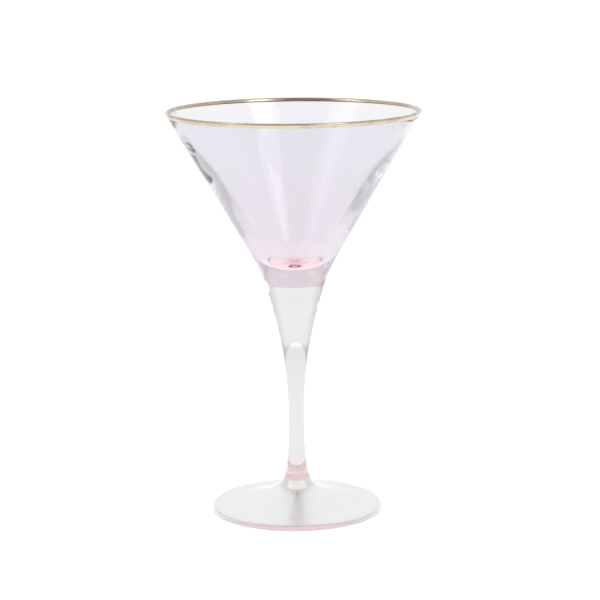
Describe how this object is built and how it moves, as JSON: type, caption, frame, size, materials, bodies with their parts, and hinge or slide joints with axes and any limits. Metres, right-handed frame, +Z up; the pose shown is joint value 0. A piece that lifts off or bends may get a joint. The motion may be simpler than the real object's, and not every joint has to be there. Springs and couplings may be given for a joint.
{
  "type": "martini glass",
  "caption": "Stemmed cocktail glass with a wide conical lavender bowl, gold band over the lip, waisted clear stem and round foot with a hollow underside.",
  "frame": {"origin": "centre of the foot, in the plane it rests on", "axes": "+Z up along the axis of the stem and the bowl; the glass is the same all the way round, so +X and +Y are free"},
  "size_m": [0.114, 0.114, 0.184],
  "materials": {
    "blush_glass": "polished clear glass with a faint blush of pink that deepens along the edge",
    "clear_glass": "fire-polished clear glass, blush pink at its lower end",
    "lavender_glass": "polished lavender glass with a soft iridescent lustre, pinker towards the base",
    "fired_gold": "bright fired gold, slightly worn"
  },
  "bodies": {
    "root": {"foot": "blush_glass", "stem": "clear_glass", "bowl": "lavender_glass", "gold_rim": "fired_gold"}
  },
  "joints": []
}
